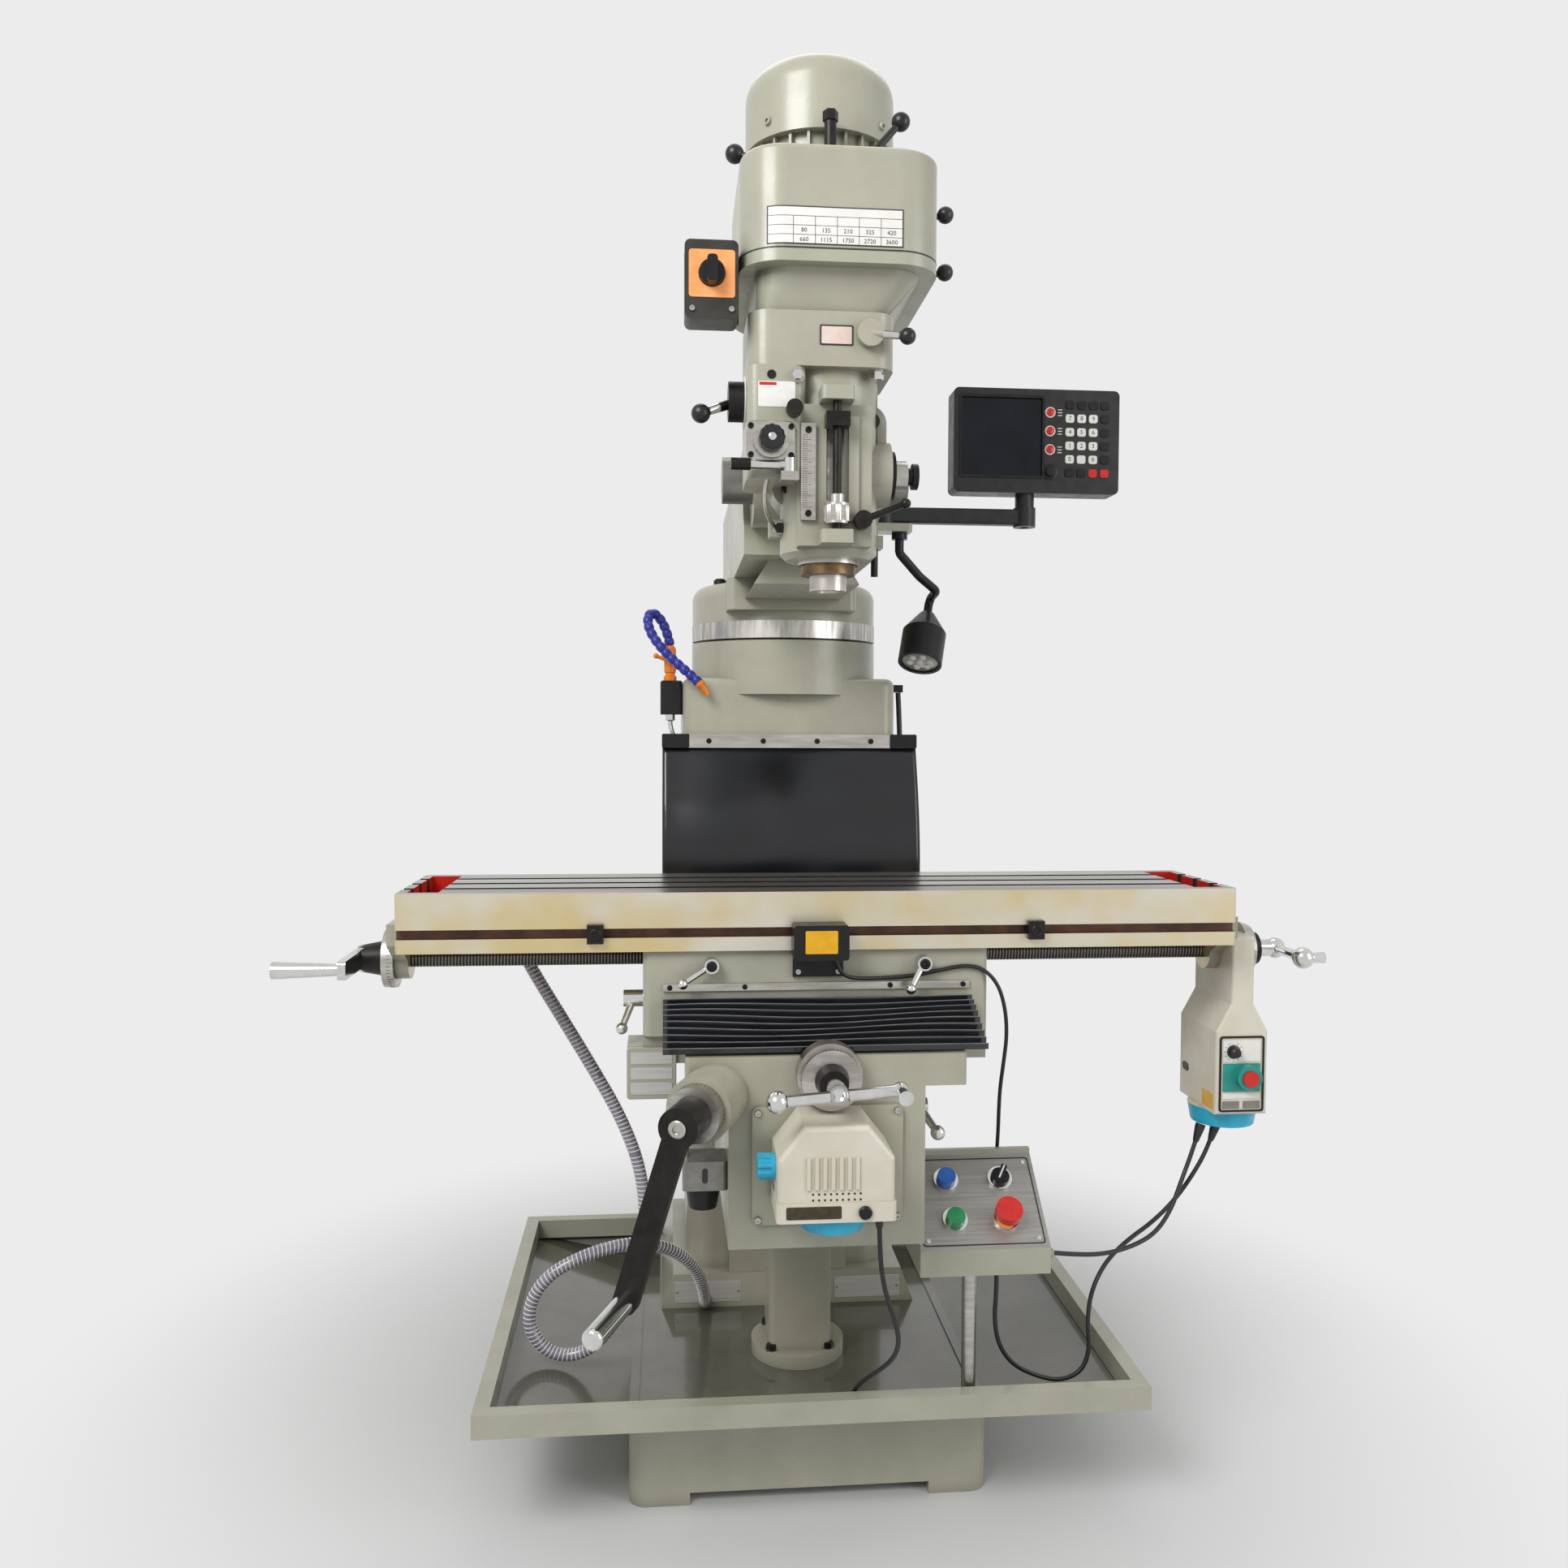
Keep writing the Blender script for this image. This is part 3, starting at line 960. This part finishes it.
def coolant_pieces():
    """Manifold, valve, jointed hose and nozzle in place of the plain coolant line. The hose's radius
    swells and shrinks along its line, one swell for each joint."""
    x, y, foot = -221, 42, 1246
    block = plate("coolant_manifold", (x + 2.5, y, foot), (41, 40), 63, BLACK, "frame", 6, 3, out=UP, up=BACK)
    profile = [(0, 0), (12, 0), (12, 8), (9, 10), (9, 14), (11, 16), (11, 58), (8, 65), (0, 65)]
    valve = lathe("coolant_valve", (x, y, foot + 63), UP, profile, ORANGE, "frame")
    offsets = [(0, 0, 128), (-6, -3, 158), (-26, -14, 188), (-42, -32, 182), (-38, -48, 150), (-8, -58, 110),
               (34, -64, 74), (54, -65, 56)]
    route = np.add((x, y, foot), offsets).tolist()
    path = spline_points("coolant_hose_line", route)
    along = np.linspace(0, path_length(path), 260)
    joint = 15 * MM
    girth = (6.6 + 2.6 * np.sqrt(np.abs(np.sin(pi * along / joint)))) * MM
    hose = tube_along("coolant_hose", at_lengths(path, along), girth, HOSE_BLUE, "frame", 20)
    tip = [(0, -3), (9.2, -3), (9.2, 3), (7.5, 5), (4.4, 25.8), (2.6, 25.8), (2.2, 20), (0, 20)]
    nozzle = lathe("coolant_nozzle", (-167, -23, 1302), (15, -1, -21), tip, ORANGE, "frame")
    for piece in (block, valve, hose, nozzle):
        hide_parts("coolant_line")
    lathe("coolant_inlet", (x, y, foot), -UP, eased(9, 10, 7, 12), CHROME, "frame", 6)
    bent_rod("coolant_pipe", (x, y, 1236), (x, y, 1198), (-190, 46, 1190), 4.5, CHROME, "frame")


def desk_fittings():
    """Border and corner screws of the control plate, and the white line on the selector."""
    centre = np.array((245.5, -470, 500.5))
    plate("desk_border", centre, (186, 144), 0.5, INK, "frame", 5, 0.1, (182, 140, 4), DESK_OUT, DESK_UP)
    corners = [centre + (x, 0, 0) + rise * np.array(DESK_UP) for x in (-84, 84) for rise in (-63, 63)]
    screws("desk_screws", corners, 3.5, CHROME, "frame", 2, DESK_OUT)
    top = np.array((286.9, -443.6, 523.2)) + 24 * np.array(DESK_OUT)
    along = 0.5 * np.array(RIGHT) + 0.866 * np.array(DESK_UP)
    strokes("selector_line", top, along, np.cross(DESK_OUT, along), (24, 2.4, 0.3), WHITE, "selector")


def lamp_lens():
    """Lens in the lamp's rim and its seven small lights: a flat disc with domes on it."""
    axis, side, across = basis((0.2079, 0.4134, 0.8865))
    place = np.array((231, -60, 1340)) + 5.5 * axis
    lathe("lamp_lens", place, -axis, eased(33.5, 2, 32, 3), LENS, "ram", 48)
    turn = 2 * pi * np.arange(6)[:, None] / 6
    ring = np.concatenate((np.zeros((1, 3)), 19 * around(turn, side, across)))
    dome = [(0, 0), (6, 0), (5.4, 2), (3.4, 3.4), (0, 4)]
    lathe("lamp_lights", place - 3 * axis + ring, -axis, dome, WHITE, "ram", 20)


def readout_keys():
    """Keys of the readout: three red buttons with white collars, a dial, and a pad of 6 by 4 keys with
    plain digits on its white ones."""
    body, face, key_rise, button_x = "dro_console", -93, 2.2, 458
    columns, rows = (494, 515.5, 537, 558.5), tuple(1803 - 24.2 * row for row in range(6))
    red = [(button_x, face, z) for z in (1789, 1756, 1723)]
    lathe("axis_collars", red, FRONT, eased(9.5, 1, 8.6, 1.6), WHITE, body, 32)
    button = [(0, 1.6), (7.4, 1.6), (7.4, 3), (5, 4.4), (0, 4.8)]
    lathe("axis_buttons", red, FRONT, button, RED, body, 32)
    bars = [(button_x + 18, face, z + rise) for _, _, z in red for rise in (-5, 0, 5)]
    strokes("axis_marks", bars, RIGHT, UP, (8, 1.4, 0.3), WHITE, body)
    dial = [(0, 0), (14, 0), (14, 1.6), (12, 2.4), (9, 2.4), (8, 7), (0, 7.6)]
    lathe("readout_dial", (button_x, face, 1683), FRONT, dial, BLACK, body, 40)
    keys = {"white": [], "dark": [], "red": []}
    digits = []
    for row, z in enumerate(rows):
        for column, x in enumerate(columns):
            pale, warm = 0 < row < 5 and column < 3, row == 5 and column > 1
            keys["white" if pale else "red" if warm else "dark"].append((x, face, z))
            if pale and (row, column) != (4, 1):
                digits.append((("789", "456", "123", "0 0")[row - 1][column], x, z, 11))
    for name, material in (("white", WHITE), ("dark", BLACK), ("red", RED)):
        plate(f"keys_{name}", keys[name], (16, 15), key_rise, material, body, 4, 0.7)
    numbers("key_digits", digits, lambda u, v, w: np.stack((u, face - key_rise - w, v), -1), INK, body)
    plate("screen_rim", (370.25, face, 1744.5), (156, 148), 1.5, BLACK, body, 5, 0.5, (147, 138, 2))


def strain_reliefs():
    """Tapered rubber sleeves where the cables leave their housings, each in line with its cable."""
    sleeve = [(3.6, 0), (8, 0), (8, 6), (5.2, 26), (4.2, 30), (3.6, 30)]
    cables = (("cross_feed", CROSS_ROUTE, "knee"), ("table_feed_left", FEED_ROUTE_LEFT, "table"),
              ("table_feed_right", FEED_ROUTE_RIGHT, "table"))
    for name, route, body in cables:
        run = np.subtract(route[1], route[0])
        lathe(name + "_sleeve", route[0], run, sleeve, CABLE, body, 24, bore=True)


belt_seam()
belt_plate()
motor_fittings()
case_fittings()
depth_scale()
rod_and_switch()
feed_panel()
cross_feed_front()
table_and_saddle_fittings()
column_fittings()
coolant_pieces()
desk_fittings()
lamp_lens()
readout_keys()
strain_reliefs()


# Floor, light and camera

BACKGROUND = "#ECECEC"


def studio_floor():
    """Pale floor that keeps the shadow near the machine and fades into the background."""
    mesh = bpy.data.meshes.new("floor")
    half = 6.0
    corners = [(-half, -half, 0), (half, -half, 0), (half, half, 0), (-half, half, 0)]
    mesh.from_pydata(corners, [], [(0, 1, 2, 3)])
    floor = placed("floor", mesh)
    material = new_material("studio_floor", "#DEDEDE", roughness=0.9, Specular_IOR_Level=0.1)
    tree, shader = nodes_of(material)
    place = add(tree, "TexCoord").outputs["Object"]
    reach = add(tree, "VectorMath", {}, {0: place}, operation="LENGTH")
    fade = add(tree, "MapRange", {"From Min": 0.5, "From Max": 1.5}, {"Value": reach.outputs["Value"]},
               interpolation_type="SMOOTHSTEP")
    clear = add(tree, "BsdfTransparent")
    mix = add(tree, "MixShader", {}, {0: fade.outputs["Result"], 1: shader.outputs["BSDF"],
                                      2: clear.outputs["BSDF"]})
    tree.links.new(mix.outputs["Shader"], tree.nodes["Material Output"].inputs["Surface"])
    mesh.materials.append(material)


def studio_world():
    """Even light from all round, and the pale background for the eye and for reflections."""
    world = bpy.data.worlds.new("studio")
    bpy.context.scene.world = world
    world.use_nodes = True
    tree = world.node_tree
    light = tree.nodes["Background"]
    light.inputs["Color"].default_value = (1, 1, 1, 1)
    light.inputs["Strength"].default_value = 0.42
    seen = add(tree, "Background", {"Color": linear(BACKGROUND), "Strength": 1.0})
    rays = add(tree, "LightPath")
    pale = rays.outputs["Is Camera Ray"]
    for kind in ("Glossy", "Transmission"):
        links = {0: pale, 1: rays.outputs[f"Is {kind} Ray"]}
        pale = add(tree, "Math", {}, links, operation="MAXIMUM").outputs["Value"]
    mix = add(tree, "MixShader", {}, {0: pale, 1: light.outputs["Background"], 2: seen.outputs["Background"]})
    tree.links.new(mix.outputs["Shader"], tree.nodes["World Output"].inputs["Surface"])


def soft_box(name, place, target, size, power):
    """Area light at a place, turned to a target; its size is in metres and its power in watts."""
    lamp = bpy.data.lights.new(name, "AREA")
    lamp.shape = "RECTANGLE"
    lamp.size, lamp.size_y = size
    lamp.energy = power
    holder = placed(name, lamp)
    holder.location = place
    holder.rotation_euler = (Vector(target) - Vector(place)).to_track_quat("-Z", "Y").to_euler()


def photo_camera():
    """Camera at the photograph's place: 1.2 m above the floor, 2.4 m in front of the column."""
    place, yaw, pitch, roll = Vector((-0.2238, -2.3636, 1.2177)), 0.090, -0.042, 0.004
    look = Vector((sin(yaw) * cos(pitch), cos(yaw) * cos(pitch), sin(pitch)))
    right = look.cross(UP).normalized()
    up = right.cross(look)
    turned_right = right * cos(roll) + up * sin(roll)
    turned_up = up * cos(roll) - right * sin(roll)
    data = bpy.data.cameras.new("photo_camera")
    data.sensor_width = 36
    data.lens = 29.396
    camera = placed("photo_camera", data)
    turn = Matrix((turned_right, turned_up, -look)).transposed()
    camera.matrix_world = Matrix.Translation(place) @ turn.to_4x4()
    bpy.context.scene.camera = camera


studio_floor()
studio_world()
soft_box("key_light", (-1.8, -2.6, 3.2), (0, -0.3, 1.2), (1.6, 1.6), 85)
soft_box("fill_light", (2.6, -2.2, 1.8), (0, -0.2, 1.0), (1.4, 2.2), 30)
soft_box("top_light", (0.2, 0.6, 3.6), (0, -0.2, 1.2), (2.0, 1.2), 10)
photo_camera()
bpy.context.scene.view_settings.view_transform = "Standard"
